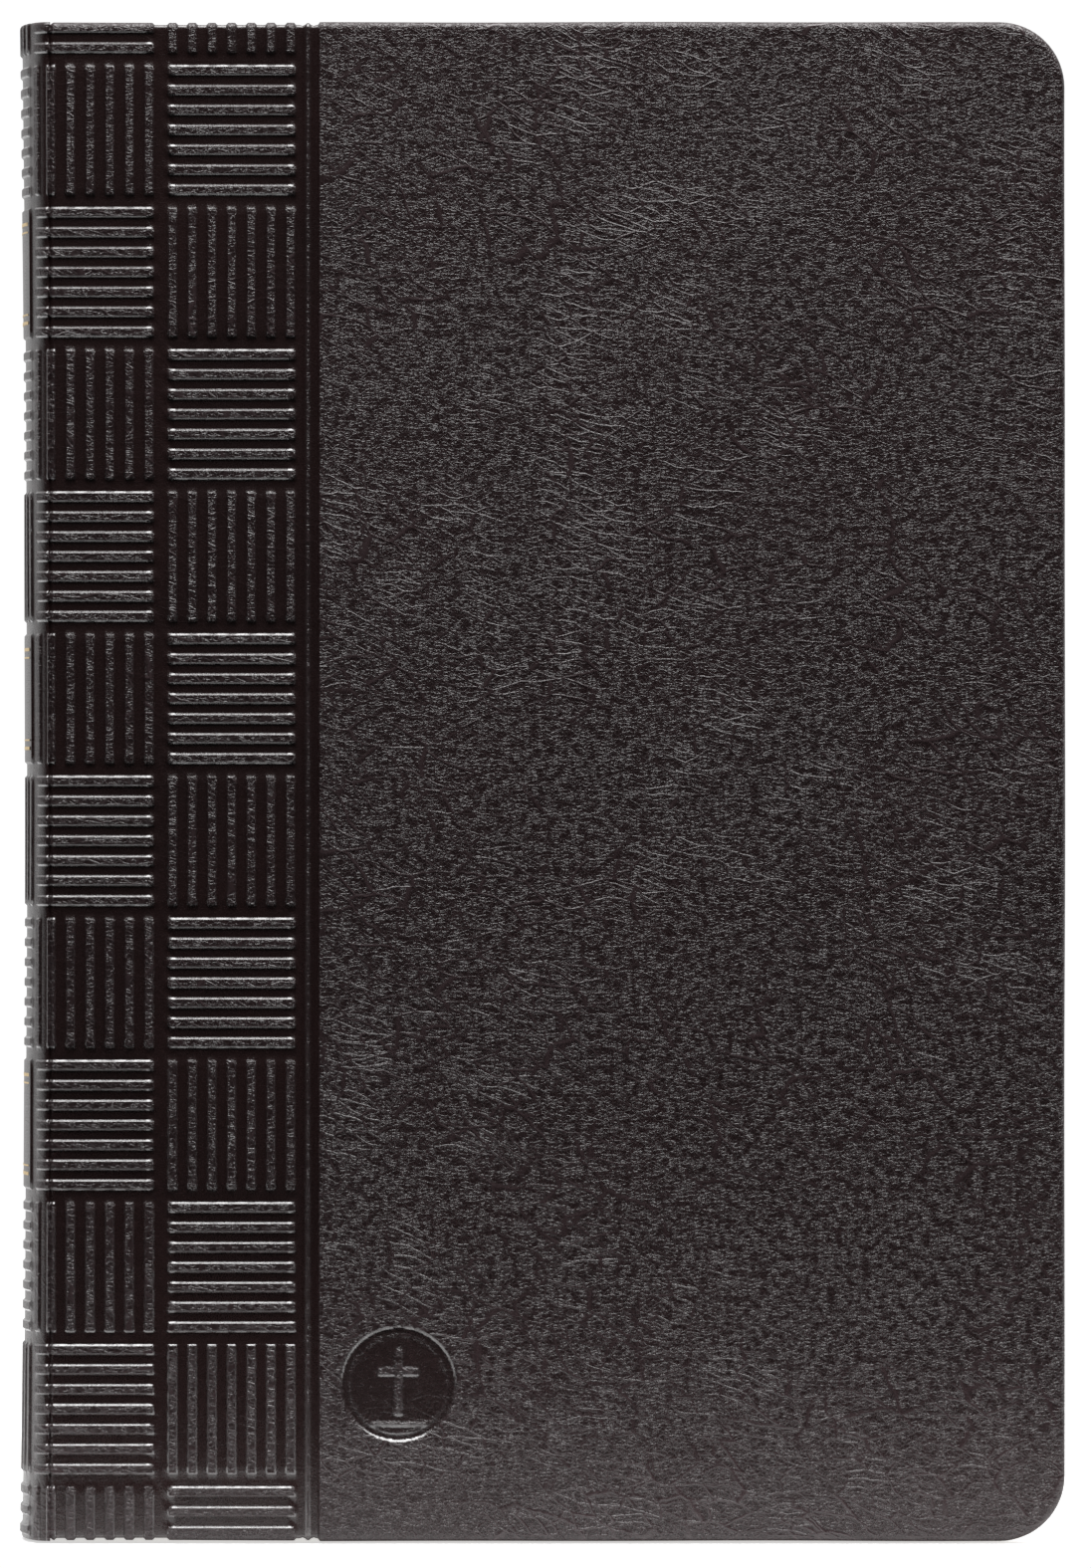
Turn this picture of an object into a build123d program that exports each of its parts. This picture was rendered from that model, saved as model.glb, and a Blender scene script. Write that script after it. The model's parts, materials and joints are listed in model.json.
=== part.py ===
"""A flexible-cover bible, standing on its tail edge with the front cover facing -Y.

The cover is imitation leather turned in over thin boards. A strip of the same leather joins each
cover to the spine. The text block is 32 sewn signatures, split in the middle where it opens.
"""
import os

from build123d import *

# Driving dimensions, in millimetres
COVER_HEIGHT = 222.2
COVER_WIDTH = 148.5  # shoulder crease to fore edge
BOOK_THICKNESS = 32.6
SPINE_BULGE = 4.2  # how far the spine stands out past the shoulder crease
COVER_CORNER_R = 9.6
SQUARE = 3.5  # how far the cover overhangs the pages
LEATHER = 0.7
BOARD = 0.7
TURN_IN = 0.55
PASTEDOWN = 0.15
TURN_IN_WIDTH = 12.0
SIGNATURES = 32
SIGNATURE_GAP = 0.01
BLOCK_CORNER_R = 7.0
BACK_ROUND = 1.6  # rounding of the block's back, repeated as the hollow of its fore edge
FLYLEAF = 0.12
RUNNING_GAP = 0.15  # between parts that move past each other

# Worked out from them. depth is measured from the mid plane towards the front cover, so y = -depth
HALF = BOOK_THICKNESS / 2
CREASE_X = (SPINE_BULGE - COVER_WIDTH) / 2
FORE_X = CREASE_X + COVER_WIDTH
SPINE_HINGE_X = CREASE_X - 1.2  # where the spine meets the two joint strips
COVER_HINGE_X = CREASE_X + 1.0  # where the joint strips meet the covers
EDGE_GAP = 0.1  # clearance at each of those edges
COVER_INNER = HALF - LEATHER - BOARD - TURN_IN
BLOCK_HALF = COVER_INNER - PASTEDOWN - RUNNING_GAP - FLYLEAF
BLOCK_BACK_X = CREASE_X + 0.3
BLOCK_FORE_X = FORE_X - SQUARE
SIGNATURE_PITCH = (BLOCK_HALF - RUNNING_GAP / 2) / (SIGNATURES // 2)

os.makedirs("parts", exist_ok=True)


def save(piece, name):
    """Label a finished piece and write it as its own STEP file."""
    piece.part.label = name
    export_step(piece.part, f"parts/{name}.step")


def leaf(x0, x1, margin, corner_r):
    """A leaf outline standing in X and Z, with its two fore-edge corners rounded."""
    height = COVER_HEIGHT - 2 * margin
    with Locations(((x0 + x1) / 2, COVER_HEIGHT / 2)):
        Rectangle(x1 - x0, height)
    fillet(vertices().group_by(Axis.X)[-1], corner_r)


def slab(depth0, depth1, *outline, mode=Mode.ADD):
    """A flat layer between two depths, in front of the mid plane or behind it."""
    low, high = sorted((depth0, depth1))
    with BuildSketch(Plane.XZ.offset(low)) as face:
        leaf(*outline)
    extrude(face.sketch, amount=high - low, mode=mode)


def rounding(depth):
    """How far the rounded back carries a leaf at this depth towards the spine."""
    return BACK_ROUND * (1 - (depth / BLOCK_HALF) ** 2)


def cover(side, prefix):
    """One cover: leather with its turn-ins, the board inside it and the pasted-down endpaper."""
    edge_x = COVER_HINGE_X + EDGE_GAP
    board_out = side * (HALF - LEATHER)
    board_in = board_out - side * BOARD
    inner = side * COVER_INNER
    pocket = (edge_x + LEATHER, FORE_X - LEATHER, LEATHER, COVER_CORNER_R - LEATHER)
    window_r = 2.0
    window = (edge_x + LEATHER, FORE_X - TURN_IN_WIDTH, TURN_IN_WIDTH, window_r)

    with BuildPart() as leather:
        slab(side * HALF, inner, edge_x, FORE_X, 0, COVER_CORNER_R)
        outer_face = leather.faces().sort_by(Axis.Y)[0 if side > 0 else -1]
        rim = outer_face.edges().sort_by(Axis.X)[1:]
        fillet(rim, LEATHER * 0.8)
        slab(board_out, board_in, *pocket, mode=Mode.SUBTRACT)
        slab(board_in, inner, *window, mode=Mode.SUBTRACT)
    save(leather, f"{prefix}_cover_leather")

    with BuildPart() as board:
        slab(board_out, board_in, *pocket)
        slab(board_in, inner, *window)
    save(board, f"{prefix}_cover_board")

    with BuildPart() as pastedown:
        outline = (edge_x + LEATHER, FORE_X - SQUARE, SQUARE, BLOCK_CORNER_R)
        slab(inner, inner - side * PASTEDOWN, *outline)
    save(pastedown, f"{prefix}_pastedown")


def joint_strip(side, prefix):
    """The leather strip in the joint, between a cover and the spine."""
    x0, x1 = SPINE_HINGE_X, COVER_HINGE_X - EDGE_GAP
    depth0, depth1 = sorted((side * HALF, side * COVER_INNER))
    with BuildPart() as strip:
        with BuildSketch(Plane.XZ.offset(depth0)):
            with Locations(((x0 + x1) / 2, COVER_HEIGHT / 2)):
                Rectangle(x1 - x0, COVER_HEIGHT)
        extrude(amount=depth1 - depth0)
    save(strip, f"{prefix}_joint_leather")


def flyleaf(side, prefix):
    """The free leaf of the endpaper, lying on the block."""
    outline = (BLOCK_BACK_X, BLOCK_FORE_X, SQUARE, BLOCK_CORNER_R)
    with BuildPart() as sheet:
        slab(side * BLOCK_HALF, side * (BLOCK_HALF + FLYLEAF), *outline)
    save(sheet, f"{prefix}_flyleaf")


def signature(number):
    """One folded gathering of leaves. Number 1 lies under the front cover."""
    half_count = SIGNATURES // 2
    side = 1 if number <= half_count else -1
    step = half_count - number if side > 0 else number - half_count - 1
    near = RUNNING_GAP / 2 + step * SIGNATURE_PITCH
    far = near + SIGNATURE_PITCH - SIGNATURE_GAP
    shift = rounding((near + far) / 2)
    fold_r = 0.4 * (far - near)
    outline = (BLOCK_BACK_X - shift, BLOCK_FORE_X - shift, SQUARE, BLOCK_CORNER_R)
    with BuildPart() as gathering:
        slab(side * near, side * far, *outline)
        back = gathering.faces().sort_by(Axis.X)[0]
        fillet(back.edges().filter_by(Axis.Z), fold_r)
    save(gathering, f"signature_{number:02d}")


def arc_radius(sagitta, half_chord):
    """Radius of the arc that rises by the sagitta over a chord."""
    return (half_chord**2 + sagitta**2) / (2 * sagitta)


def arc_band(apex_x, radius, thickness, half_chord, z0, height):
    """A curved band standing on z0. Its hollow side passes through apex_x and has this radius."""
    reach = radius + thickness
    with BuildSketch(Plane.XY.offset(z0)) as section:
        with Locations((apex_x + radius, 0)):
            Circle(reach)
            Circle(radius, mode=Mode.SUBTRACT)
        with Locations((apex_x - thickness + reach / 2, 0)):
            Rectangle(reach, 2 * half_chord, mode=Mode.INTERSECT)
    extrude(section.sketch, amount=height)


def spine():
    """The spine's leather, its card stiffener, the block's lining and the two end bands."""
    apex_x = CREASE_X - SPINE_BULGE
    edge_x = SPINE_HINGE_X - EDGE_GAP
    half_chord = HALF - EDGE_GAP
    inner_radius = arc_radius(edge_x - apex_x, half_chord) - LEATHER

    with BuildPart() as leather:
        arc_band(apex_x + LEATHER, inner_radius, LEATHER, half_chord, 0, COVER_HEIGHT)
        with BuildSketch() as kept:
            with Locations(((apex_x + edge_x) / 2, 0)):
                Rectangle(edge_x - apex_x, 2 * half_chord)
        extrude(kept.sketch, amount=COVER_HEIGHT, mode=Mode.INTERSECT)
    save(leather, "spine_leather")

    card, card_margin = 0.6, 1.0
    card_x = apex_x + LEATHER + card
    card_height = COVER_HEIGHT - 2 * card_margin
    card_half = BLOCK_HALF - card_margin
    with BuildPart() as stiffener:
        arc_band(card_x, inner_radius - card, card, card_half, card_margin, card_height)
    save(stiffener, "spine_stiffener")

    lining, lining_margin = 0.3, 12.0
    lining_x = BLOCK_BACK_X - BACK_ROUND - RUNNING_GAP
    lining_radius = arc_radius(BACK_ROUND, BLOCK_HALF)
    lining_height = COVER_HEIGHT - 2 * lining_margin
    with BuildPart() as mull:
        arc_band(lining_x, lining_radius, lining, BLOCK_HALF, lining_margin, lining_height)
    save(mull, "spine_lining")

    band_height, band_depth, band_lift = 1.6, 1.2, 0.1
    head_z = COVER_HEIGHT - SQUARE + band_lift
    tail_z = SQUARE - band_lift - band_height
    for name, z0 in (("head_band", head_z), ("tail_band", tail_z)):
        with BuildPart() as band:
            arc_band(lining_x + band_depth / 2, lining_radius, band_depth, BLOCK_HALF, z0, band_height)
            fillet(band.edges().filter_by(GeomType.CIRCLE), band_depth * 0.35)
        save(band, name)


for side, prefix in ((1, "front"), (-1, "back")):
    cover(side, prefix)
    joint_strip(side, prefix)
    flyleaf(side, prefix)
for number in range(1, SIGNATURES + 1):
    signature(number)
spine()
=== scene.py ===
"""Looks for a flexible-cover bible that stands on its tail edge, front cover towards -Y.

The leather skins carry the pressed basket weave as real relief. Sizes are in millimetres, except
where a comment says metres.
u is measured from the shoulder crease towards the fore edge, and depth from the mid plane towards
the front cover. Girth runs along the leather: positive across the cover, negative round the spine.
Down is measured from the head edge.
"""
import json
import math

import bmesh
import bpy
import numpy as np
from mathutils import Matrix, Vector


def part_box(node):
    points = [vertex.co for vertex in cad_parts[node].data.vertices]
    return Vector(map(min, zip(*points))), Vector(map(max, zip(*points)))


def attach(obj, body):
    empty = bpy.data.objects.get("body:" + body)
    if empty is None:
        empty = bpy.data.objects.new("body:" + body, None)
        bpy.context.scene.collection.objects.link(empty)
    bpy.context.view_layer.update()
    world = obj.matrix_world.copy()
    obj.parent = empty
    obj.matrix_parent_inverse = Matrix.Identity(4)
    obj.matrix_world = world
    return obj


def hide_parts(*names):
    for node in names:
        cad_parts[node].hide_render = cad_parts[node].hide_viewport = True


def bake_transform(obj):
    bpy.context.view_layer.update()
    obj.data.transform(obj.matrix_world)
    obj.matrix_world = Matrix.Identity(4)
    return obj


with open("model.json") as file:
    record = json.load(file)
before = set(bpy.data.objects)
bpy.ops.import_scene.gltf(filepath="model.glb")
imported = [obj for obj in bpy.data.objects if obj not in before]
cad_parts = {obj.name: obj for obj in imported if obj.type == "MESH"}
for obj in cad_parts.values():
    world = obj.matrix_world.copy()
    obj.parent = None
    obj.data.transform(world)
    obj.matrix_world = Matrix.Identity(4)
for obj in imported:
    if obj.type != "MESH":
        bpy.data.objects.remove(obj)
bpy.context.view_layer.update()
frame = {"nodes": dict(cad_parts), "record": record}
MM = 0.001
rng = np.random.default_rng(7)


# ---- sizes read from the frame ----
def box_mm(node):
    return tuple(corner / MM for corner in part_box(node))


joints = {joint["name"]: joint for joint in frame["record"]["behaviour"]["joints"]}
cover_low, cover_high = box_mm("front_cover_leather")
spine_low, _ = box_mm("spine_leather")

HINGE_PAST_CREASE = 1.2
HEIGHT = cover_high.z
HALF = -cover_low.y
CREASE_X = joints["book_open"]["pos_m"][0] / MM + HINGE_PAST_CREASE
WIDTH = cover_high.x - CREASE_X
COVER_INNER = -cover_high.y
BULGE = CREASE_X - spine_low.x
CORNER_R = 9.6
PAGE_CORNER_R = 7.0
EDGE_R = 0.95  # rounding of the cover's outer edge
BOARD_EDGE = 1.8
TURN_IN = 12.0  # leather folded in over the board
SIGNATURES = 32
WAIST = 0.75  # how far the spine is drawn in at mid height
SPINE_EXTRA = 0.85  # how far it stands out past the CAD spine, which is too flat

# ---- the basket weave ----
ROW_PITCH = 20.79
ROW_SPAN = 18.88
FIRST_FULL_ROW = 6.38
ROWS = 12
BAR_WIDTH = 1.40
BARS = 7
BAR_FOOT, BAR_TOP = -0.13, 0.21  # where a pressed shoulder starts and ends, from the bar's edge
COVER_COLUMNS = ((-3.45, 15.2), (17.25, 35.9))
SPINE_COLUMN_START = -5.6
SPINE_BARS = 9
TITLE_ROWS = (2, 5, 8)
WEAVE_DEPTH = 0.32
BEAD = (37.4, 38.1)
PANEL_START = 39.3
PANEL_STEP = 0.08  # how far the weave band lies below the panel
GROOVES = ((0.0, 0.35, 0.3), (36.95, 0.15, 0.25), (38.6, 0.15, 0.25))  # girth, depth, width

# ---- the round emblem ----
EMBLEM_AT = (51.0, 23.0)  # girth, height above the tail
EMBLEM_R = 8.4
EMBLEM_DEPTH = 0.42
EMBLEM_RELIEF = 0.55  # share of that depth which its raised lines win back
EMBLEM_REACH, EMBLEM_GRID = 9, 0.27
CROSS_POST = ((-0.6, 0.6), (-4.6, 5.2))  # across, then up, from the disc's centre
CROSS_ARM = ((-3.0, 3.0), (1.2, 2.4))
CROSS_RULE = ((-4.2, 4.2), (-6.2, -5.5))

# ---- leather and paper, with heights of their bumps in metres ----
SKIN_THICKNESS = 0.72
LEATHER_CELL = (0.0160, 0.0052, 0.0055, 1)
# painted highlight: the grain lines and creases get this lighter colour, which stands in for light caught on
# their ridges
LEATHER_LINE_AND_HIGHLIGHT = (0.064, 0.042, 0.045, 1)
LEATHER_FLOOR = (0.020, 0.0078, 0.0074, 1)
LEATHER_BUMP, PAPER_BUMP, CARD_BUMP, THREAD_BUMP = 0.000066, 0.00004, 0.0001, 0.00006
PAPER = (0.60, 0.52, 0.39)
BACK_OFFSET = 400  # moves the back half along the flat map, so that its grain differs from the front's

# ---- the set, in metres and watts ----
CAMERA_DISTANCE, CAMERA_LENS, SENSOR = 2.0, 314.0, 36.0
AIM_U, AIM_HEIGHT = 72.5, 110.74  # millimetres
LAMP_AT, LAMP_AIM, LAMP_SIZE, LAMP_POWER = (0.05, -0.22, 1.0), (0, 0, 0.12), (1.2, 0.7), 19
FRONT_WALL, BACK_WALL, SEEN_WALL = 0.02, 0.75, 1.05  # world strength
FLOOR_SIDE, FLOOR_FRONT, FLOOR_BACK, FLOOR_DROP = 1.3, 0.05, 1.3, 0.0004
FLOOR_GLOW, FLOOR_SEEN_GLOW = 0.15, 0.6


# ======================================================================
# mesh helpers
# ======================================================================
def make_piece(name, points, faces, materials, face_slots=None, smooth_angle=34):
    """A closed mesh piece from points in millimetres, with its faces turned outwards."""
    points = np.asarray(points, float)
    mesh = bpy.data.meshes.new(name)
    mesh.from_pydata((points * MM).tolist(), [], faces)
    for material in materials:
        mesh.materials.append(material)
    if face_slots is not None:
        mesh.polygons.foreach_set("material_index", face_slots)
    turn_outwards(mesh)
    mesh.polygons.foreach_set("use_smooth", [True] * len(mesh.polygons))
    mesh.set_sharp_from_angle(angle=math.radians(smooth_angle))
    mesh.update()
    piece = bpy.data.objects.new(name, mesh)
    bpy.context.collection.objects.link(piece)
    return piece


def turn_outwards(mesh):
    """Give a closed mesh's faces one winding, with their normals outwards."""
    work = bmesh.new()
    work.from_mesh(mesh)
    bmesh.ops.recalc_face_normals(work, faces=work.faces)
    work.to_mesh(mesh)
    work.free()


def add_flat_map(piece, flat):
    """UVs that hold each vertex's place on the flat leather or page, in millimetres."""
    layer = piece.data.uv_layers.new(name="flat")
    loops = np.zeros(len(piece.data.loops), np.int32)
    piece.data.loops.foreach_get("vertex_index", loops)
    layer.data.foreach_set("uv", np.asarray(flat, np.float32)[loops].ravel())


def add_mask(piece, name, values):
    """A per-vertex value that a material reads by name."""
    mask = piece.data.attributes.new(name, "FLOAT", "POINT")
    mask.data.foreach_set("value", np.asarray(values, np.float32).ravel())


def swept(rings):
    """Points and faces of a closed piece from rings that each run out along one side and back
    along the other. The two ends are closed by strips between those sides."""
    rings = np.asarray(rings, float)
    columns, around, _ = rings.shape
    index = np.arange(columns * around).reshape(columns, around)
    faces = []
    for j in range(columns - 1):
        for k in range(around):
            n = (k + 1) % around
            faces.append((index[j, k], index[j, n], index[j + 1, n], index[j + 1, k]))
    for ring, order in ((index[0], 1), (index[-1], -1)):
        for k in range(around // 2 - 1):
            strip = (ring[k], ring[around - 1 - k], ring[around - 2 - k], ring[k + 1])
            faces.append(strip[::order])
    return rings.reshape(-1, 3), [tuple(int(i) for i in face) for face in faces]


def spread(lines, low, high, gap):
    """Lines within a span, with the ends added and wide gaps filled evenly."""
    kept = sorted({round(float(x), 4) for x in lines if low + 0.02 < x < high - 0.02} | {low, high})
    out = [kept[0]]
    for line in kept[1:]:
        first = out[-1]
        if line - first < 0.04 and line != high:
            continue
        pieces = max(1, math.ceil((line - first) / gap))
        out += [first + (line - first) * k / pieces for k in range(1, pieces + 1)]
    return np.array(out)


# ======================================================================
# the weave's relief
# ======================================================================
def rise(inside):
    """0 outside a pressed edge and 1 inside it, with a rounded shoulder between."""
    return np.clip((inside - BAR_FOOT) / (BAR_TOP - BAR_FOOT), 0, 1)


def ridge(value, start, end):
    """1 between start and end and 0 outside, with a rounded shoulder at each."""
    return rise(value - start) * rise(end - value)


def edge_lines(start, end):
    """Grid lines that follow the two pressed edges of a raised bar."""
    return [start + BAR_FOOT, start + BAR_TOP, end - BAR_TOP, end - BAR_FOOT]


def bars(start, end, count):
    """Start and end of each of several equal bars that fill a block."""
    pitch = (end - start - BAR_WIDTH) / (count - 1)
    return [(start + k * pitch, start + k * pitch + BAR_WIDTH) for k in range(count)]


def row_span(row):
    """Where a row of blocks starts and ends, down from the head edge."""
    start = FIRST_FULL_ROW + (row - 1) * ROW_PITCH
    return start, start + ROW_SPAN


def block(girth, down, row, column, upright, count=BARS):
    """Raised bars of one block. Upright bars run along the book's height."""
    if upright:
        return sum(ridge(girth, *bar) for bar in bars(*column, count)) * ridge(down, *row_span(row))
    return sum(ridge(down, *bar) for bar in bars(*row_span(row), BARS)) * ridge(girth, *column)


def emblem(girth, down):
    """Pressed disc, with a plain cross and a rule standing up inside it."""
    dx, dz = girth - EMBLEM_AT[0], HEIGHT - down - EMBLEM_AT[1]
    disc = rise(EMBLEM_R - np.hypot(dx, dz))
    lines = (CROSS_POST, CROSS_ARM, CROSS_RULE)
    post, arm, rule = (ridge(dx, *across) * ridge(dz, *up) for across, up in lines)
    ring = ridge(np.hypot(dx, dz), EMBLEM_R - 1.5, EMBLEM_R - 1.0)
    raised = np.maximum(np.maximum(np.maximum(post, arm), rule), 0.5 * ring)
    return disc, raised


def relief(girth, down):
    """Lift of the leather's face over its full thickness, and how strongly it is pressed."""
    up, plain = np.zeros_like(girth), np.zeros_like(girth)
    for row in range(ROWS):
        up += block(girth, down, row, COVER_COLUMNS[1], row % 2 == 0)
        up += block(girth, down, row, COVER_COLUMNS[0], row % 2 == 1)
        if row in TITLE_ROWS:
            plain += ridge(girth, *SPINE_COLUMN) * ridge(down, *row_span(row))
        else:
            up += block(girth, down, row, SPINE_COLUMN, row % 2 == 0, SPINE_BARS)
    panel = rise(girth - PANEL_START)
    up += 0.8 * ridge(girth, *BEAD) + panel
    up = np.clip(up + plain, 0, 1)
    disc, raised = emblem(girth, down)
    lift = -WEAVE_DEPTH * (1 - up) - PANEL_STEP * (1 - panel)
    lift -= EMBLEM_DEPTH * disc * (1 - EMBLEM_RELIEF * raised)
    for at, depth, width in GROOVES:
        lift -= depth * np.exp(-(((girth - at) / width) ** 2))
    lift += 0.05 * np.sin(girth * 0.071 + 0.9) * np.sin(down * 0.043 + 0.4)
    lift += 0.03 * np.sin(girth * 0.137 + down * 0.089 + 2.1)
    return lift, np.clip(1 - up + plain + 0.8 * disc * (1 - raised), 0, 1)


def weave_rows():
    """Grid lines down the cover that follow every pressed edge."""
    lines = []
    for row in range(ROWS):
        for bar in bars(*row_span(row), BARS):
            lines += edge_lines(*bar)
    return lines


def weave_columns(column, count=BARS):
    """Grid lines across a column of blocks that follow its upright bars."""
    return [line for bar in bars(*column, count) for line in edge_lines(*bar)]


# ======================================================================
# the case's shape
# ======================================================================
def girth_table():
    """Girth round the spine against angle, from the crease to the middle of the spine."""
    angle = np.linspace(0, math.pi / 2, 3000)
    run = np.hypot(BULGE * np.cos(angle), HALF * np.sin(angle))
    steps = (run[1:] + run[:-1]) / 2 * np.diff(angle)
    return np.concatenate(([0], np.cumsum(steps))), angle


TURN_GIRTH, TURN_ANGLE = girth_table()
SPINE_MIDDLE = -TURN_GIRTH[-1]
SPINE_COLUMN = (2 * SPINE_MIDDLE - SPINE_COLUMN_START, SPINE_COLUMN_START)


def waist(down):
    """How far the spine stands out past the crease: less at mid height than at the ends."""
    share = np.clip(down / HEIGHT, 0, 1)
    return BULGE + SPINE_EXTRA - WAIST * np.sin(math.pi * share) ** 0.8


def case_face(girth, down, lift):
    """u and depth of a place on the case's outer face, lifted along its outward normal."""
    angle = np.interp(-girth, TURN_GIRTH, TURN_ANGLE)
    bulge = waist(down)
    u = np.where(girth > 0, girth, -bulge * np.sin(angle))
    across, out = -HALF * np.sin(angle), bulge * np.cos(angle)
    length = np.hypot(across, out)
    return u + lift * across / length, HALF * np.cos(angle) + lift * out / length


def place(u, depth, down, side):
    """Points in the row frame from places on the front half, or mirrored to the back half."""
    u, depth, down = np.broadcast_arrays(u, depth, down)
    return np.stack((CREASE_X + u, -side * depth, HEIGHT - down), axis=-1)


def corner_drop(u, inset, radius, width):
    """How far a rounded corner pulls the head and tail edges in at u."""
    over = np.clip(u - (width - radius), 0, radius - inset)
    return radius - inset - np.sqrt((radius - inset) ** 2 - over**2)


def corner_columns(width, radius, inset, count):
    """Columns that follow a rounded corner evenly."""
    turn = np.linspace(0, math.pi / 2, count + 1)
    return width - radius + (radius - inset) * np.sin(turn)


def rim_place(kind, share, inset, start):
    """A place on the cover's outline moved in by inset. start is where its straight edges begin."""
    radius = max(CORNER_R - inset, 2.0)
    centre_u, centre_down = WIDTH - inset - radius, inset + radius
    if kind == "start":
        return start, inset + share * (HEIGHT - 2 * inset)
    if kind == "fore":
        return WIDTH - inset, centre_down + share * (HEIGHT - 2 * centre_down)
    if kind in ("head", "tail"):
        u, down = start + share * (centre_u - start), inset
    else:
        u, down = centre_u + radius * math.sin(share), centre_down - radius * math.cos(share)
    return (u, HEIGHT - down) if kind in ("tail", "tail_corner") else (u, down)


def rim_kinds(columns, rows):
    """What part of the outline each vertex round the cover's grid lies on, and where."""
    straight = WIDTH - CORNER_R
    edge = []
    for u in columns[:-1]:
        if u <= straight:
            edge.append(("", u / straight))
        else:
            edge.append(("_corner", math.asin((u - straight) / (CORNER_R - EDGE_R))))
    head = [("head" + kind, share) for kind, share in edge]
    tail = [("tail" + kind, share) for kind, share in edge]
    across = [(down - EDGE_R) / (HEIGHT - 2 * EDGE_R) for down in rows]
    fore = [("fore", share) for share in across]
    start = [("start", share) for share in across[1:-1]]
    return head + fore + tail[::-1] + start[::-1]


def rim_rings():
    """Depth, inset, start, and how much of the relief is left, for each ring round the edge."""
    rings = []
    for turn in np.radians((22, 45, 67, 90)):
        rings.append((HALF - EDGE_R * (1 - math.cos(turn)), EDGE_R * (1 - math.sin(turn)), 0, turn))
    inner_r = HALF - EDGE_R - COVER_INNER
    for turn in np.radians((22, 45, 67, 90)):
        depth = COVER_INNER + inner_r * (1 - math.sin(turn))
        rings.append((depth, inner_r * (1 - math.cos(turn)), 0, math.pi / 2))
    pocket_edge, pocket_top = 0.75, HALF - 0.7
    flat = math.pi / 2
    rings.append((COVER_INNER, TURN_IN, BOARD_EDGE, flat))
    rings.append((COVER_INNER + 0.54, TURN_IN, BOARD_EDGE, flat))
    rings.append((COVER_INNER + 0.54, pocket_edge, BOARD_EDGE, flat))
    rings.append((pocket_top, pocket_edge, BOARD_EDGE, flat))
    return rings


def cover_grid(with_emblem):
    """Girths and downs of the cover's grid, close together where the leather is pressed."""
    lines = [0.15 * k for k in range(15)] + weave_columns(COVER_COLUMNS[0]) + weave_columns(COVER_COLUMNS[1])
    lines += edge_lines(*BEAD) + [36.4, 36.7, 36.95, 37.2, 38.35, 38.6, 38.85]
    lines += [PANEL_START + BAR_FOOT, PANEL_START + BAR_TOP]
    rows = weave_rows()
    if with_emblem:
        fine = np.arange(-EMBLEM_REACH, EMBLEM_REACH, EMBLEM_GRID)
        lines += list(fine + EMBLEM_AT[0])
        rows += list(HEIGHT - EMBLEM_AT[1] + fine)
    columns = spread(lines, 0.0, WIDTH - CORNER_R, 1.5)
    columns = np.concatenate((columns, corner_columns(WIDTH, CORNER_R, EDGE_R, 16)[1:]))
    return columns, spread(rows, EDGE_R, HEIGHT - EDGE_R, 1.5)


def as_faces(*rings):
    """Vertex rings as the plain whole numbers that a mesh takes."""
    return [tuple(int(i) for i in ring) for ring in rings]


def pocket_floor(last, count_u, count_down):
    """Faces that close the pocket for the board, from its head side to its tail side."""
    head, fore = last[: count_u - 1], last[count_u - 1 : count_u - 1 + count_down]
    tail = last[count_u - 1 + count_down : 2 * count_u - 2 + count_down][::-1]
    begin = last[2 * count_u - 2 + count_down :][::-1]
    head, tail = np.append(head, fore[0]), np.append(tail, fore[-1])
    faces = as_faces((head[1], head[0], *begin, tail[0], tail[1]))
    for k in range(1, len(head) - 2):
        faces += as_faces((head[k], tail[k], tail[k + 1], head[k + 1])[::-1])
    return faces + as_faces((head[-2], tail[-2], *fore[::-1])[::-1])


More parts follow.
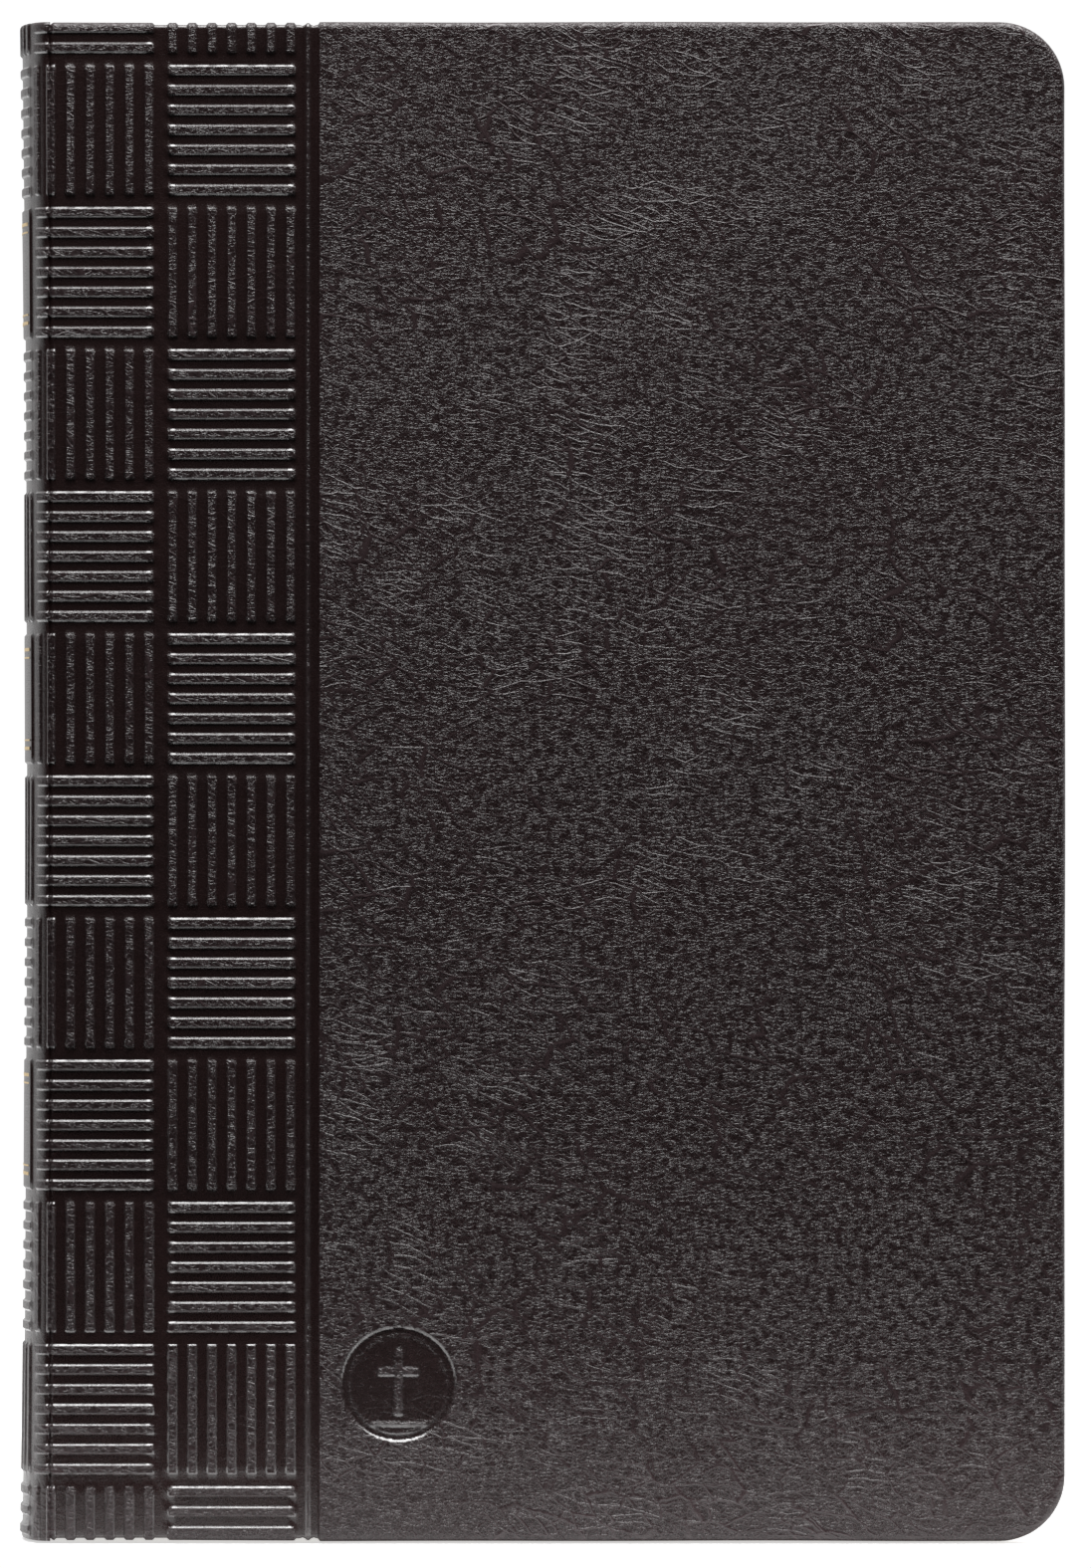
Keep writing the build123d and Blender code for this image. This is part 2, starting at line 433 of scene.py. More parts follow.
def cover_skin(name, side, materials, with_emblem):
    """The leather of one cover, from the crease to the fore edge, turned in round the board."""
    columns, rows = cover_grid(with_emblem)
    drop = corner_drop(columns, EDGE_R, CORNER_R, WIDTH)[:, None]
    share = ((rows - EDGE_R) / (HEIGHT - 2 * EDGE_R))[None, :]
    down = EDGE_R + drop + share * (HEIGHT - 2 * EDGE_R - 2 * drop)
    girth = np.broadcast_to(columns[:, None], down.shape)
    lift, pressed = relief(girth, down)
    if not with_emblem:  # fill the disc in again, as the back cover is plain there
        disc, raised = emblem(girth, down)
        lift = lift + EMBLEM_DEPTH * disc * (1 - EMBLEM_RELIEF * raised)
        pressed = np.where(disc > 0, 0, pressed)
    u, depth = case_face(girth, down, lift)

    count_u, count_down = down.shape
    index = np.arange(count_u * count_down).reshape(count_u, count_down)
    points = [place(u, depth, down, side).reshape(-1, 3)]
    flats = [np.stack((girth, down), axis=-1).reshape(-1, 2)]
    masks = [pressed.ravel()]
    corners = np.stack((index[:-1, :-1], index[:-1, 1:], index[1:, 1:], index[1:, :-1]), axis=-1)
    faces = [tuple(face) for face in corners.reshape(-1, 4).tolist()]

    loop = np.concatenate((index[:-1, 0], index[-1, :], index[:-1, -1][::-1], index[0, 1:-1][::-1]))
    kinds = rim_kinds(columns, rows)
    edge_lift, edge_mask = lift.ravel()[loop], masks[0][loop]
    edge_flat = flats[0][loop]
    last, total, travelled = loop, index.size, 0.0
    before = (HALF, EDGE_R)
    for ring_depth, inset, start, turn in rim_rings():
        travelled += math.hypot(ring_depth - before[0], inset - before[1])
        before = (ring_depth, inset)
        ring = np.array([
            rim_place(kind, part, inset - amount * math.sin(turn) * (start == 0 and kind != "start"), start)
            for (kind, part), amount in zip(kinds, edge_lift * (inset < EDGE_R))
        ])
        ring_depths = ring_depth + edge_lift * max(math.cos(turn), 0.0)
        points.append(place(ring[:, 0], ring_depths, ring[:, 1], side))
        outward = np.array([rim_place(k, s, 0, 0) for k, s in kinds]) - edge_flat
        length = np.maximum(np.hypot(*outward.T), 1e-6)[:, None]
        flats.append(edge_flat + outward / length * travelled)
        masks.append(edge_mask * (0.9 if turn < 1.5 else 0.6))
        now = np.arange(total, total + len(loop))
        total += len(loop)
        for k in range(len(loop)):
            n = (k + 1) % len(loop)
            faces.append((int(last[k]), int(last[n]), int(now[n]), int(now[k])))
        last = now
    faces += pocket_floor(last, count_u, count_down)
    piece = make_piece(name, np.concatenate(points), faces, materials)
    flat = np.concatenate(flats)
    flat[:, 0] += 0 if side > 0 else BACK_OFFSET
    add_flat_map(piece, flat)
    add_mask(piece, "pressed", np.concatenate(masks))
    return piece


def spine_inner(girth, down, thickness, open_from=-3.6):
    """The inner face behind a place on the spine. It fills out towards the joint with the cover."""
    held = np.minimum(girth, open_from)
    u, depth = case_face(held, down, -thickness)
    share = np.clip((girth - open_from) / -open_from, 0, 1)
    return u * (1 - share), depth * (1 - share) + COVER_INNER * share


def spine_skin(name, side, materials):
    """Half of the spine's leather, from the middle of the spine to the crease."""
    lines = weave_columns(SPINE_COLUMN, SPINE_BARS) + weave_columns(COVER_COLUMNS[0])
    lines += [-0.15 * k for k in range(12)]
    columns = spread(lines, SPINE_MIDDLE, 0.0, 0.5)
    edge = 0.6
    rows = spread(weave_rows(), edge, HEIGHT - edge, 1.5)
    turns = np.radians((18, 36, 54, 72, 90))
    head_down = edge * (1 - np.sin(turns[::-1]))
    sink = -edge * (1 - np.cos(turns[::-1])) * 0.62
    down = np.concatenate((head_down, rows, HEIGHT - head_down[::-1]))
    sink = np.concatenate((sink, np.zeros(len(rows)), sink[::-1]))
    girth, downs = np.meshgrid(columns, down, indexing="ij")
    held = np.clip(downs, edge, HEIGHT - edge)
    lift, pressed = relief(girth, held)
    fade = np.clip(1 + sink / edge, 0, 1)
    u, depth = case_face(girth, downs, lift * fade + sink)
    inner_u, inner_depth = spine_inner(girth, downs, SKIN_THICKNESS)
    share = np.clip(-sink / edge, 0, 1) * 0.35
    inner_u = inner_u * (1 - share) + u * share
    inner_depth = inner_depth * (1 - share) + depth * share
    outer = place(u, depth, downs, side)
    inner = place(inner_u, inner_depth, downs, side)
    points, faces = swept(np.concatenate((outer, inner[:, ::-1]), axis=1))
    piece = make_piece(name, points, faces, materials)
    flat = np.stack((girth, downs), axis=-1)
    flat = np.concatenate((flat, flat[:, ::-1]), axis=1).reshape(-1, 2)
    flat[:, 0] = flat[:, 0] if side > 0 else 2 * SPINE_MIDDLE - flat[:, 0]
    add_flat_map(piece, flat)
    add_mask(piece, "pressed", np.concatenate((pressed, pressed[:, ::-1] * 0.5), axis=1))
    return piece


def spine_strip(name, materials, inner_lift, outer_lift, girth_end, downs):
    """A layer that follows the spine's curve right across it, between two lifts."""
    half = np.linspace(SPINE_MIDDLE, girth_end, 24)
    rings = []
    for side, girths in ((1, half[::-1]), (-1, half[1:])):
        for girth in girths:
            outer = place(*case_face(girth, downs, outer_lift), downs, side)
            inner = place(*case_face(girth, downs, inner_lift), downs, side)
            rings.append(np.concatenate((outer, inner[::-1])))
    points, faces = swept(rings)
    piece = make_piece(name, points, faces, materials, smooth_angle=40)
    add_flat_map(piece, points[:, 1:])
    return piece


# ======================================================================
# pages, endpapers, bands
# ======================================================================
def leaf_columns(start, width, radius, bend_to):
    """Columns across a leaf: close together where it bends, and round its fore-edge corner."""
    close = np.arange(start + 1.0, bend_to, 1.0)
    open_part = np.linspace(bend_to, width - radius, 12)
    return np.concatenate((close, open_part, corner_columns(width, radius, 0, 9)[1:]))


def signature_piece(number, materials):
    """A folded gathering of leaves, with slightly uneven leaf edges."""
    low, high = box_mm(f"signature_{number:02d}")
    side = 1 if number <= SIGNATURES // 2 else -1
    near, far = sorted((abs(low.y), abs(high.y)))
    start, width = low.x - CREASE_X, high.x - CREASE_X
    edge = HEIGHT - high.z
    levels = np.linspace(near, far, 6)
    trim = rng.uniform(0, 0.1, len(levels)) + np.array((0.1, 0, 0.03, 0.03, 0, 0.1))
    jog = rng.uniform(-0.12, 0.06)
    leaf = leaf_columns(start, width, PAGE_CORNER_R, start + 30)
    columns = np.concatenate(([start, start + 0.12, start + 0.4], leaf))
    drop = corner_drop(columns, 0, PAGE_CORNER_R, width)
    squeeze = np.ones(len(columns))
    squeeze[:2] = (0.5, 0.85)
    middle = (near + far) / 2
    rings, flats = [], []
    for u, fall, share in zip(columns, drop, squeeze):
        reach = np.clip((u - 40) / (width - 40), 0, 1)
        depth = middle + (levels - middle) * share
        across = u + (jog - trim) * reach
        head = place(across, depth, edge + fall + trim, side)
        tail = place(across, depth, HEIGHT - edge - fall - trim, side)
        rings.append(np.concatenate((head, tail[::-1])))
        flats.append([(u, edge + fall)] * len(levels) + [(u, HEIGHT - edge - fall)] * len(levels))
    points, faces = swept(rings)
    # the second material goes on the face nearest the middle of the block
    around = len(levels) * 2
    sides = (len(columns) - 1) * around
    slots = [int(len(materials) > 1 and i < sides and i % around == around - 1) for i in range(len(faces))]
    piece = make_piece(f"pages_{number:02d}", points, faces, materials, slots, smooth_angle=35)
    add_flat_map(piece, np.array(flats).reshape(-1, 2) + (0 if side > 0 else BACK_OFFSET, 0))
    add_mask(piece, "leaf", np.abs(points[:, 1]))
    bend_end = 27 - 19 * middle / COVER_INNER
    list(bend_line(-0.5, bend_end, side))
    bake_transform(piece)
    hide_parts(f"signature_{number:02d}")
    return piece


def bend_line(start_u, end_u, side, start_depth=8.0, end_depth=8.0):
    """Start and end of a bend, in metres."""
    ends = place(np.array((start_u, end_u)), np.array((start_depth, end_depth)), HEIGHT / 2, side) * MM
    return tuple(ends[0]), tuple(ends[1])


def endpaper(name, side, nodes, material):
    """One folded sheet: the flyleaf on the block, round the fold, and the leaf pasted to the cover."""
    fly_low, fly_high = box_mm(nodes[0])
    paste_low, paste_high = box_mm(nodes[1])
    fly = (abs(fly_low.y) + abs(fly_high.y)) / 2
    paste = (abs(paste_low.y) + abs(paste_high.y)) / 2
    width, edge = fly_high.x - CREASE_X, HEIGHT - fly_high.z
    fold_u, fold_r, half_thick = 0.75, (paste - fly) / 2, 0.05
    across = np.concatenate((np.linspace(fold_u, 8, 6), leaf_columns(8, width, PAGE_CORNER_R, 20)))
    path = [(u, fly, 0, -1) for u in across[::-1]]
    for turn in np.linspace(-80, 80, 9):
        c, s = math.cos(math.radians(turn)), math.sin(math.radians(turn))
        path.append((fold_u - fold_r * c, (fly + paste) / 2 + fold_r * s, -c, s))
    path += [(u, paste, 0, 1) for u in across]
    rings, flats = [], []
    for u, depth, nu, nd in path:
        fall = edge + corner_drop(u, 0, PAGE_CORNER_R, width)
        rings.append([
            place(u + half_thick * k * nu, depth + half_thick * k * nd, down, side)
            for k, down in ((1, fall), (-1, fall), (-1, HEIGHT - fall), (1, HEIGHT - fall))
        ])
        flat_u = u + 200 * (depth > (fly + paste) / 2)
        flats += [(flat_u, down) for down in (fall, fall, HEIGHT - fall, HEIGHT - fall)]
    points, faces = swept(rings)
    piece = make_piece(name, points, faces, [material], smooth_angle=35)
    add_flat_map(piece, flats)
    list(bend_line(40, 40, side, fly + 0.06, paste - 0.06))
    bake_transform(piece)
    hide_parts(*nodes)
    return piece


def thread_band(name, node, material):
    """A worked band of wound thread at one end of the spine."""
    low, high = box_mm(node)
    radius = (high.z - low.z) / 2 * 0.95
    reach = high.y - radius
    steps, around = 260, 12
    rings, stripes = [], []
    for k in range(steps + 1):
        along = k / steps * 2 - 1
        wound = abs(math.sin(math.pi * k / 8))
        r = radius * (0.8 + 0.2 * wound)
        x = low.x + radius + (high.x - low.x - 2 * radius) * along**2
        turn = (np.arange(around) + 0.5) / around * 2 * math.pi
        heights = (low.z + high.z) / 2 + r * np.sin(turn)
        rings.append(np.stack((x + r * np.cos(turn) * 0.8, np.full(around, reach * along), heights), axis=-1))
        stripes += [float((k // 8) % 2)] * around
    points, faces = swept(rings)
    piece = make_piece(name, points, faces, [material])
    add_mask(piece, "stripe", stripes)
    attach(piece, "spine")
    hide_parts(node)
    return piece


# ======================================================================
# materials
# ======================================================================
class Nodes:
    """Short names for adding and joining shader nodes in one tree."""

    def __init__(self, tree):
        self.tree = tree

    def add(self, kind, **settings):
        node = self.tree.nodes.new("ShaderNode" + kind)
        for name, value in settings.items():
            setattr(node, name, value)
        return node

    def link(self, source, target):
        self.tree.links.new(source, target)
        return target

    def feed(self, node, inputs):
        for key, value in inputs.items():
            if isinstance(value, bpy.types.NodeSocket):
                self.link(value, node.inputs[key])
            else:
                node.inputs[key].default_value = value

    def math(self, operation, *values, clamp=False):
        node = self.add("Math", operation=operation, use_clamp=clamp)
        self.feed(node, dict(enumerate(values)))
        return node.outputs[0]

    def ramp(self, value, low, high, to_low=0.0, to_high=1.0):
        node = self.add("MapRange", interpolation_type="SMOOTHSTEP")
        self.feed(node, {0: value, 1: low, 2: high, 3: to_low, 4: to_high})
        return node.outputs[0]

    def mix(self, factor, first, second):
        node = self.add("Mix", data_type="RGBA")
        self.feed(node, {0: factor, 6: first, 7: second})
        return node.outputs[2]

    def scaled(self, vector, size):
        node = self.add("VectorMath", operation="MULTIPLY")
        self.feed(node, {0: vector, 1: size})
        return node.outputs[0]

    def turned(self, vector, degrees):
        node = self.add("VectorRotate", rotation_type="Z_AXIS")
        self.feed(node, {"Vector": vector, "Angle": math.radians(degrees)})
        return node.outputs[0]

    def noise(self, vector, scale, detail=2.0, rough=0.5, colour=False):
        node = self.add("TexNoise")
        self.feed(node, {"Vector": vector, "Scale": scale, "Detail": detail, "Roughness": rough})
        return node.outputs["Color" if colour else "Factor" if "Factor" in node.outputs else "Fac"]

    def warped(self, vector, scale, amount):
        """The vector pushed about by noise."""
        shift = self.add("VectorMath", operation="SUBTRACT")
        self.feed(shift, {0: self.noise(vector, scale, 1.0, colour=True), 1: (0.5, 0.5, 0.5)})
        out = self.add("VectorMath", operation="ADD")
        self.feed(out, {0: vector, 1: self.scaled(shift.outputs[0], (amount,) * 3)})
        return out.outputs[0]

    def edges(self, vector, scale, width):
        """Thin lines between the cells of a random net: 1 on a line, 0 away from it."""
        cells = self.add("TexVoronoi", feature="DISTANCE_TO_EDGE", voronoi_dimensions="2D")
        self.feed(cells, {"Vector": vector, "Scale": scale})
        return self.ramp(cells.outputs["Distance"], 0.0, width, 1.0, 0.0)

    def moved(self, vector, amount):
        node = self.add("VectorMath", operation="ADD")
        self.feed(node, {0: vector, 1: (amount, amount * 1.7, 0.0)})
        return node.outputs[0]

    def band(self, value, low, high):
        """1 between low and high, 0 outside."""
        above = self.math("GREATER_THAN", value, low)
        return self.math("MULTIPLY", above, self.math("LESS_THAN", value, high))


def new_group(name, inputs, outputs):
    """An empty node group with these sockets, and its short-name helper."""
    group = bpy.data.node_groups.new(name, "ShaderNodeTree")
    kinds = {"value": "NodeSocketFloat", "vector": "NodeSocketVector", "colour": "NodeSocketColor"}
    for socket, kind in inputs:
        group.interface.new_socket(socket, in_out="INPUT", socket_type=kinds[kind])
    for socket, kind in outputs:
        group.interface.new_socket(socket, in_out="OUTPUT", socket_type=kinds[kind])
    given = group.nodes.new("NodeGroupInput").outputs
    result = group.nodes.new("NodeGroupOutput").inputs
    return group, Nodes(group), (given, result)


def leather_group():
    """Fine grain of wandering lines over dark cells, with longer creases in patches. The grain is real
    relief; the lighter colour of its lines and creases is a painted highlight on their ridges.
    """
    group, n, (given, result) = new_group(
        "pebbled_leather",
        [("Place", "vector"), ("Pressed", "value"), ("Cell", "colour"), ("Line", "colour"),
         ("Floor", "colour")],
        [("Colour", "colour"), ("Roughness", "value"), ("Rubbed", "value"), ("Height", "value")],
    )
    at = given["Place"]
    fine = n.warped(n.warped(at, 0.55, 0.9), 2.2, 0.3)
    net = n.edges(fine, 1.6, 0.2)
    small = n.edges(n.warped(n.scaled(at, (1.0, 1.35, 1.0)), 1.3, 0.5), 2.2, 0.2)
    broken = n.ramp(n.noise(at, 0.8, 2.0), 0.3, 0.6)
    grain = n.math("MAXIMUM", n.math("MULTIPLY", net, n.math("ADD", n.math("MULTIPLY", broken, 0.6), 0.4)),
                   n.math("MULTIPLY", small, n.math("MULTIPLY", broken, 0.5)))
    creases = []
    for degrees, scale, seed in ((-6, 0.36, 0.0), (-36, 0.32, 31.0), (-18, 0.6, 77.0)):
        along = n.scaled(n.turned(n.warped(n.warped(at, 0.09, 5.0), 0.6, 0.7), degrees), (0.34, 1.0, 1.0))
        patch = n.ramp(n.noise(n.moved(at, seed), 0.022, 1.0), 0.44, 0.56)
        thin = n.ramp(n.noise(n.moved(at, seed + 7), 0.09, 2.0), 0.36, 0.62, 0.15, 1.0)
        creases.append(n.math("MULTIPLY", n.edges(along, scale, 0.09), n.math("MULTIPLY", patch, thin)))
    crease = n.math("MAXIMUM", n.math("MAXIMUM", *creases[:2]), creases[2])
    flat = n.math("SUBTRACT", 1.0, n.math("MULTIPLY", given["Pressed"], 0.8), clamp=True)
    lines = n.math("MULTIPLY", n.math("MAXIMUM", grain, crease), flat)
    pores = n.noise(at, 5.0, 3.0, 0.7)
    slow = n.noise(at, 0.05, 3.0)
    height = n.math("ADD", lines, n.math("MULTIPLY", pores, 0.25))
    raised = n.math("MULTIPLY", n.math("MULTIPLY", crease, flat), 0.5)
    n.link(n.math("ADD", height, raised), result["Height"])
    base = n.mix(n.ramp(given["Pressed"], 0.1, 0.9), given["Cell"], given["Floor"])
    shade = n.mix(n.ramp(slow, 0.3, 0.7, 0.0, 0.25), base, (0.004, 0.003, 0.003, 1))
    # painted highlight: lines and creases take the lighter line colour, which stands in for light caught on
    # their ridges
    n.link(n.mix(n.math("MULTIPLY", lines, 0.8), shade, given["Line"]), result["Colour"])
    pressed = given["Pressed"]
    rubbed = n.math("MULTIPLY", n.math("MULTIPLY", pressed, n.math("SUBTRACT", 1.0, pressed)), 4.0)
    uneven = n.ramp(n.noise(at, 0.9, 2.0), 0.25, 0.65, 0.55, 1.0)
    n.link(n.math("MULTIPLY", rubbed, uneven), result["Rubbed"])
    rough = n.math("SUBTRACT", n.ramp(pores, 0.2, 0.8, 0.3, 0.44), n.math("MULTIPLY", pressed, 0.08))
    n.link(n.math("SUBTRACT", rough, n.math("MULTIPLY", lines, 0.08)), result["Roughness"])
    return group


def paper_group():
    """Paper with faint fibres, and streaks where the leaf edges show."""
    group, n, (given, result) = new_group(
        "paper_leaves",
        [("Place", "vector"), ("Leaf", "value"), ("Edge", "value"), ("Paper", "colour"), ("Shade", "colour")],
        [("Colour", "colour"), ("Height", "value")],
    )
    joined = n.add("CombineXYZ")
    split = n.add("SeparateXYZ")
    n.link(given["Place"], split.inputs[0])
    stretch = (split.outputs[0], 0.02), (split.outputs[1], 0.02), (given["Leaf"], 9.0)
    n.feed(joined, {axis: n.math("MULTIPLY", value, factor) for axis, (value, factor) in enumerate(stretch)})
    streak = n.noise(joined.outputs[0], 1.0, 3.0, 0.7)
    fibre = n.noise(given["Place"], 1.4, 4.0, 0.65)
    lines = n.math("MULTIPLY", n.ramp(streak, 0.35, 0.65), given["Edge"])
    tone = n.math("ADD", n.math("MULTIPLY", lines, 0.6), n.ramp(fibre, 0.2, 0.8, 0.0, 0.25), clamp=True)
    n.link(n.mix(tone, given["Paper"], given["Shade"]), result["Colour"])
    n.link(n.math("ADD", lines, n.math("MULTIPLY", fibre, 0.3)), result["Height"])
    return group


def print_group():
    """Grey dashes in two columns that stand in for print."""
    group, n, (given, result) = new_group("column_print", [("Place", "vector")], [("Ink", "value")])
    split = n.add("SeparateXYZ")
    n.link(given["Place"], split.inputs[0])
    line_pitch = 2.5
    u = n.math("MODULO", split.outputs[0], BACK_OFFSET)
    down = split.outputs[1]
    line = n.math("MODULO", down, line_pitch)
    row = n.math("FLOOR", n.math("DIVIDE", down, line_pitch))
    in_line = n.math("MULTIPLY", n.math("GREATER_THAN", line, 0.8), n.math("LESS_THAN", line, 2.0))
    spot = n.add("CombineXYZ")
    n.feed(spot, {0: n.math("MULTIPLY", u, 0.55), 1: n.math("MULTIPLY", row, 3.7), 2: 0.0})
    words = n.ramp(n.noise(spot.outputs[0], 1.0, 3.0, 0.8), 0.42, 0.46)
    columns = n.math("ADD", n.band(u, 13.0, 73.0), n.band(u, 77.0, 135.0))
    inside = n.math("MULTIPLY", columns, n.band(down, 16.0, 206.0))
    n.link(n.math("MULTIPLY", n.math("MULTIPLY", in_line, words), inside), result["Ink"])
    return group


def new_material(name, colour, roughness=0.6, specular=0.5, **fixed):
    """A Principled material and its short-name helper."""
    material = bpy.data.materials.new(name)
    material.use_nodes = True
    tree = material.node_tree
    shader = next(node for node in tree.nodes if node.type == "BSDF_PRINCIPLED")
    shader.inputs["Base Color"].default_value = (*colour, 1)
    shader.inputs["Roughness"].default_value = roughness
    shader.inputs["Specular IOR Level"].default_value = specular
    for socket, value in fixed.items():
        shader.inputs[socket.replace("_", " ")].default_value = value
    return material, Nodes(tree), shader


def flat_place(n):
    return n.add("UVMap", uv_map="flat").outputs[0]


def bumped(n, shader, height, distance):
    node = n.add("Bump")
    n.feed(node, {"Height": height, "Strength": 1.0, "Distance": distance})
    n.link(node.outputs[0], shader.inputs["Normal"])


def leather_material(group):
    gloss = {"specular": 0.85, "Coat_Roughness": 0.2, "Coat_IOR": 2.1}
    material, n, shader = new_material("cover_leather", (0.01, 0.007, 0.008), **gloss)
    pressed = n.add("Attribute", attribute_name="pressed")
    leather = n.add("Group", node_tree=group)
    n.feed(leather, {"Place": flat_place(n), "Pressed": pressed.outputs["Fac"], "Cell": LEATHER_CELL,
                     "Line": LEATHER_LINE_AND_HIGHLIGHT, "Floor": LEATHER_FLOOR})
    n.link(leather.outputs["Colour"], shader.inputs["Base Color"])
    n.link(leather.outputs["Roughness"], shader.inputs["Roughness"])
    n.link(leather.outputs["Rubbed"], shader.inputs["Coat Weight"])
    bumped(n, shader, leather.outputs["Height"], LEATHER_BUMP)
    return material


def paper_material(name, group, paper, shade, edge, ink=None):
    material, n, shader = new_material(name, paper, roughness=0.85, specular=0.25)
    place_at = flat_place(n)
    leaf = n.add("Attribute", attribute_name="leaf")
    sheet = n.add("Group", node_tree=group)
    n.feed(sheet, {"Place": place_at, "Leaf": leaf.outputs["Fac"], "Edge": edge, "Paper": (*paper, 1),
                   "Shade": (*shade, 1)})
    colour = sheet.outputs["Colour"]
    if ink:
        printed = n.add("Group", node_tree=ink)
        n.link(place_at, printed.inputs["Place"])
        colour = n.mix(n.math("MULTIPLY", printed.outputs["Ink"], 0.75), colour, (0.04, 0.035, 0.035, 1))
    n.link(colour, shader.inputs["Base Color"])
    bumped(n, shader, sheet.outputs["Height"], PAPER_BUMP)
    return material


def card_material(name, colour, shade, scale):
    """Grey board or cloth with a fibrous face."""
    material, n, shader = new_material(name, colour, roughness=0.9, specular=0.2)
    at = n.add("TexCoord").outputs["Object"]
    fibre = n.noise(n.scaled(at, (1.0, 1.0, 0.35)), scale, 4.0, 0.7)
    n.link(n.mix(n.ramp(fibre, 0.3, 0.7), (*colour, 1), (*shade, 1)), shader.inputs["Base Color"])
    n.link(n.ramp(fibre, 0.2, 0.8, 0.82, 0.95), shader.inputs["Roughness"])
    bumped(n, shader, fibre, CARD_BUMP)
    return material


def band_material():
    material, n, shader = new_material("band_thread", (0.6, 0.5, 0.35), roughness=0.6)
    stripe = n.add("Attribute", attribute_name="stripe")
    twist = n.noise(n.add("TexCoord").outputs["Object"], 4000.0, 2.0)
    colour = n.mix(n.ramp(stripe.outputs["Fac"], 0.3, 0.7), (0.62, 0.5, 0.3, 1), (0.05, 0.025, 0.025, 1))
    shaded = n.mix(n.ramp(twist, 0.3, 0.8, 0.0, 0.35), colour, (0.2, 0.15, 0.1, 1))
    n.link(shaded, shader.inputs["Base Color"])
    bumped(n, shader, twist, THREAD_BUMP)
    return material


def foil_material():
    material, n, shader = new_material("gold_foil", (0.72, 0.5, 0.2), roughness=0.3, Metallic=1.0)
    worn = n.noise(flat_place(n), 2.5, 3.0)
    gilt = n.mix(n.ramp(worn, 0.55, 0.75), (0.74, 0.53, 0.22, 1), (0.3, 0.2, 0.09, 1))
    n.link(gilt, shader.inputs["Base Color"])
    n.link(n.ramp(worn, 0.3, 0.7, 0.25, 0.45), shader.inputs["Roughness"])
    return material


# ======================================================================
# the set
# ======================================================================
def add_camera():
    """Square on to the front cover."""
    data = bpy.data.cameras.new("camera")
    data.lens, data.sensor_width, data.sensor_fit = CAMERA_LENS, SENSOR, "AUTO"
    data.clip_end = 20
    camera = bpy.data.objects.new("camera", data)
    bpy.context.collection.objects.link(camera)
    camera.location = ((CREASE_X + AIM_U) * MM, -HALF * MM - CAMERA_DISTANCE, AIM_HEIGHT * MM)
    camera.rotation_euler = (math.radians(90), 0, 0)
    bpy.context.scene.camera = camera


def area_light(name, at, aim, size, power):
    data = bpy.data.lights.new(name, "AREA")
    data.shape, data.size, data.size_y, data.energy = "RECTANGLE", size[0], size[1], power
    light = bpy.data.objects.new(name, data)
    bpy.context.collection.objects.link(light)
    light.location = at
    light.rotation_euler = (Vector(aim) - Vector(at)).to_track_quat("-Z", "Y").to_euler()


def add_world():
    """White to the camera. To all other rays, bright behind the book and nearly dark in front of it,
    so that the cover is lit by the lamp and shows no haze."""
    world = bpy.data.worlds.new("studio")
    world.use_nodes = True
    bpy.context.scene.world = world
    n = Nodes(world.node_tree)
    back = next(node for node in world.node_tree.nodes if node.type == "BACKGROUND")
    back.inputs["Color"].default_value = (1, 1, 1, 1)
    split = n.add("SeparateXYZ")
    n.link(n.add("TexCoord").outputs["Generated"], split.inputs[0])
    behind = n.ramp(split.outputs[1], -0.1, 0.6, FRONT_WALL, BACK_WALL)
    seen = n.add("LightPath").outputs["Is Camera Ray"]
    unseen = n.math("MULTIPLY", n.math("SUBTRACT", 1.0, seen), behind)
    n.link(n.math("ADD", n.math("MULTIPLY", seen, SEEN_WALL), unseen), back.inputs["Strength"])


def add_floor():
    """A pale floor that ends a little in front of the book, so that the cover mirrors less of it."""
    near, far = -FLOOR_FRONT, FLOOR_BACK
    outline = (-FLOOR_SIDE, near), (FLOOR_SIDE, near), (FLOOR_SIDE, far), (-FLOOR_SIDE, far)
    points = [(x, y, -FLOOR_DROP) for x, y in outline]
    mesh = bpy.data.meshes.new("floor")
    mesh.from_pydata(points, [], [(0, 1, 2, 3)])
    material, n, shader = new_material("floor_paper", (0.9, 0.9, 0.9), roughness=0.9, specular=0.1)
    cloud = n.noise(n.add("TexCoord").outputs["Object"], 3.0, 2.0)
    n.link(n.mix(cloud, (0.9, 0.9, 0.9, 1), (0.93, 0.93, 0.93, 1)), shader.inputs["Base Color"])
    shader.inputs["Emission Color"].default_value = (1, 1, 1, 1)
    seen = n.add("LightPath").outputs["Is Camera Ray"]
    n.link(n.ramp(seen, 0.0, 1.0, FLOOR_GLOW, FLOOR_SEEN_GLOW), shader.inputs["Emission Strength"])
    mesh.materials.append(material)
    floor = bpy.data.objects.new("floor", mesh)
    bpy.context.collection.objects.link(floor)


def repaint(nodes, material):
    """Give CAD nodes that stay in view a worked material."""
    for name in nodes:
        node = frame["nodes"][name]
        if not node.data.materials:
            node.data.materials.append(material)
        for k in range(len(node.data.materials)):
            node.data.materials[k] = material


# ======================================================================
# build
# ======================================================================
add_camera()
add_world()
add_floor()
area_light("top_light", LAMP_AT, LAMP_AIM, LAMP_SIZE, LAMP_POWER)
bpy.context.scene.view_settings.view_transform = "Standard"

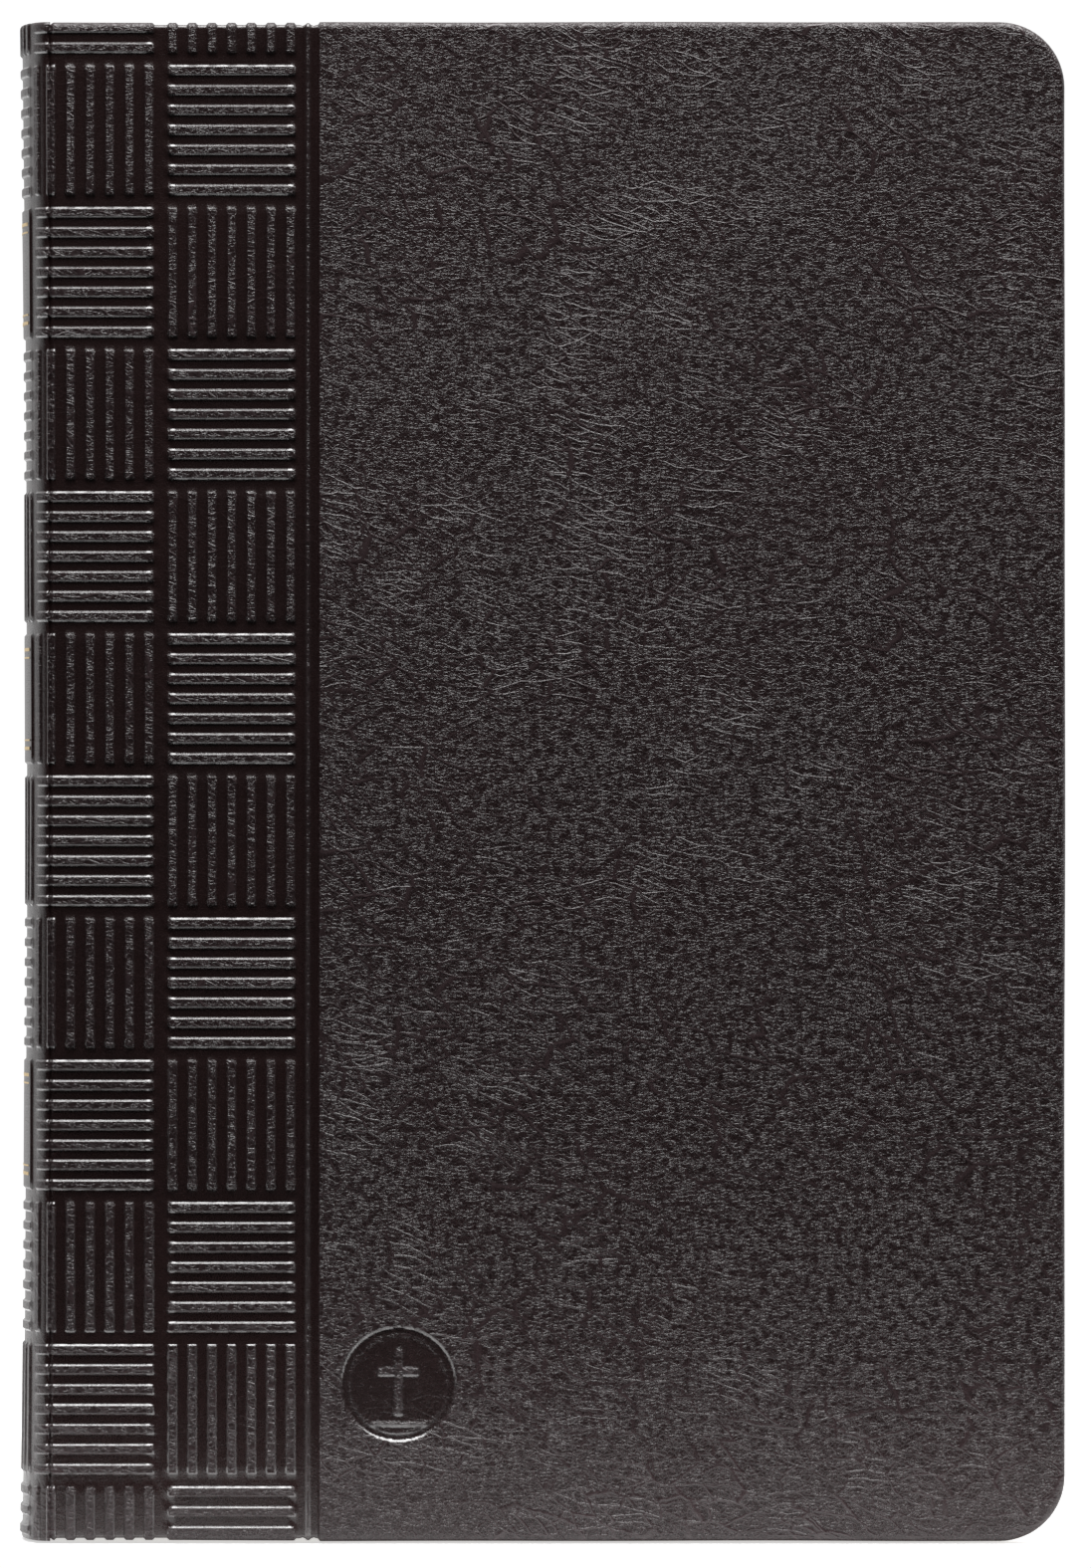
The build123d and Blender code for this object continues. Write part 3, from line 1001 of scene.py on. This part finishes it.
leather = leather_material(leather_group())
papers = paper_group()
page = paper_material("page_paper", papers, PAPER, (0.36, 0.29, 0.20), 1.0)
printed_page = paper_material("printed_page", papers, PAPER, (0.54, 0.46, 0.34), 0.0, print_group())
end_sheet = paper_material("endpaper", papers, (0.055, 0.03, 0.022), (0.035, 0.018, 0.013), 0.0)
board_grey = card_material("board", (0.32, 0.28, 0.22), (0.22, 0.19, 0.15), 900.0)
cloth = card_material("lining_cloth", (0.6, 0.56, 0.48), (0.42, 0.39, 0.33), 1600.0)

halves = ((1, "front", "front_block", "front_cover"), (-1, "back", "rear_block", "back_cover"))
for side, prefix, block_body, cover_body in halves:
    skin = cover_skin(f"{prefix}_leather", side, [leather], side > 0)
    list(bend_line(0.05, 2.0, side))
    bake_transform(skin)
    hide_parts(f"{prefix}_cover_leather", f"{prefix}_joint_leather")
    half = spine_skin(f"spine_leather_{prefix}", side, [leather])
    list(bend_line(-2.2, -0.1, side, 14.0, 16.3))
    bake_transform(half)
    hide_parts("spine_leather")
    leaves = (f"{prefix}_flyleaf", f"{prefix}_pastedown")
    endpaper(f"{prefix}_endpaper", side, leaves, end_sheet)

card_margin = 1.2
card_downs = np.linspace(card_margin, HEIGHT - card_margin, 30)
card = spine_strip("spine_card", [board_grey], -1.25, -0.78, -5.5, card_downs)
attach(card, "spine")
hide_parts("spine_stiffener")

foil = foil_material()
for row in TITLE_ROWS:
    start, end = row_span(row)
    for number, down in enumerate((start + 2.2, start + 3.4, end - 3.4, end - 2.2)):
        width = 0.5 if number in (0, 3) else 0.25
        rule_downs = np.linspace(down - width / 2, down + width / 2, 3)
        rule = spine_strip(f"gold_rule_{row}_{number + 1}", [foil], -0.2, -0.02, -6.6, rule_downs)
        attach(rule, "spine")

for number in range(1, SIGNATURES + 1):
    facing = number in (SIGNATURES // 2, SIGNATURES // 2 + 1)
    signature_piece(number, [page, printed_page] if facing else [page])

thread = band_material()
thread_band("head_band_thread", "head_band", thread)
thread_band("tail_band_thread", "tail_band", thread)
repaint(("front_cover_board", "back_cover_board"), board_grey)
repaint(("spine_lining",), cloth)
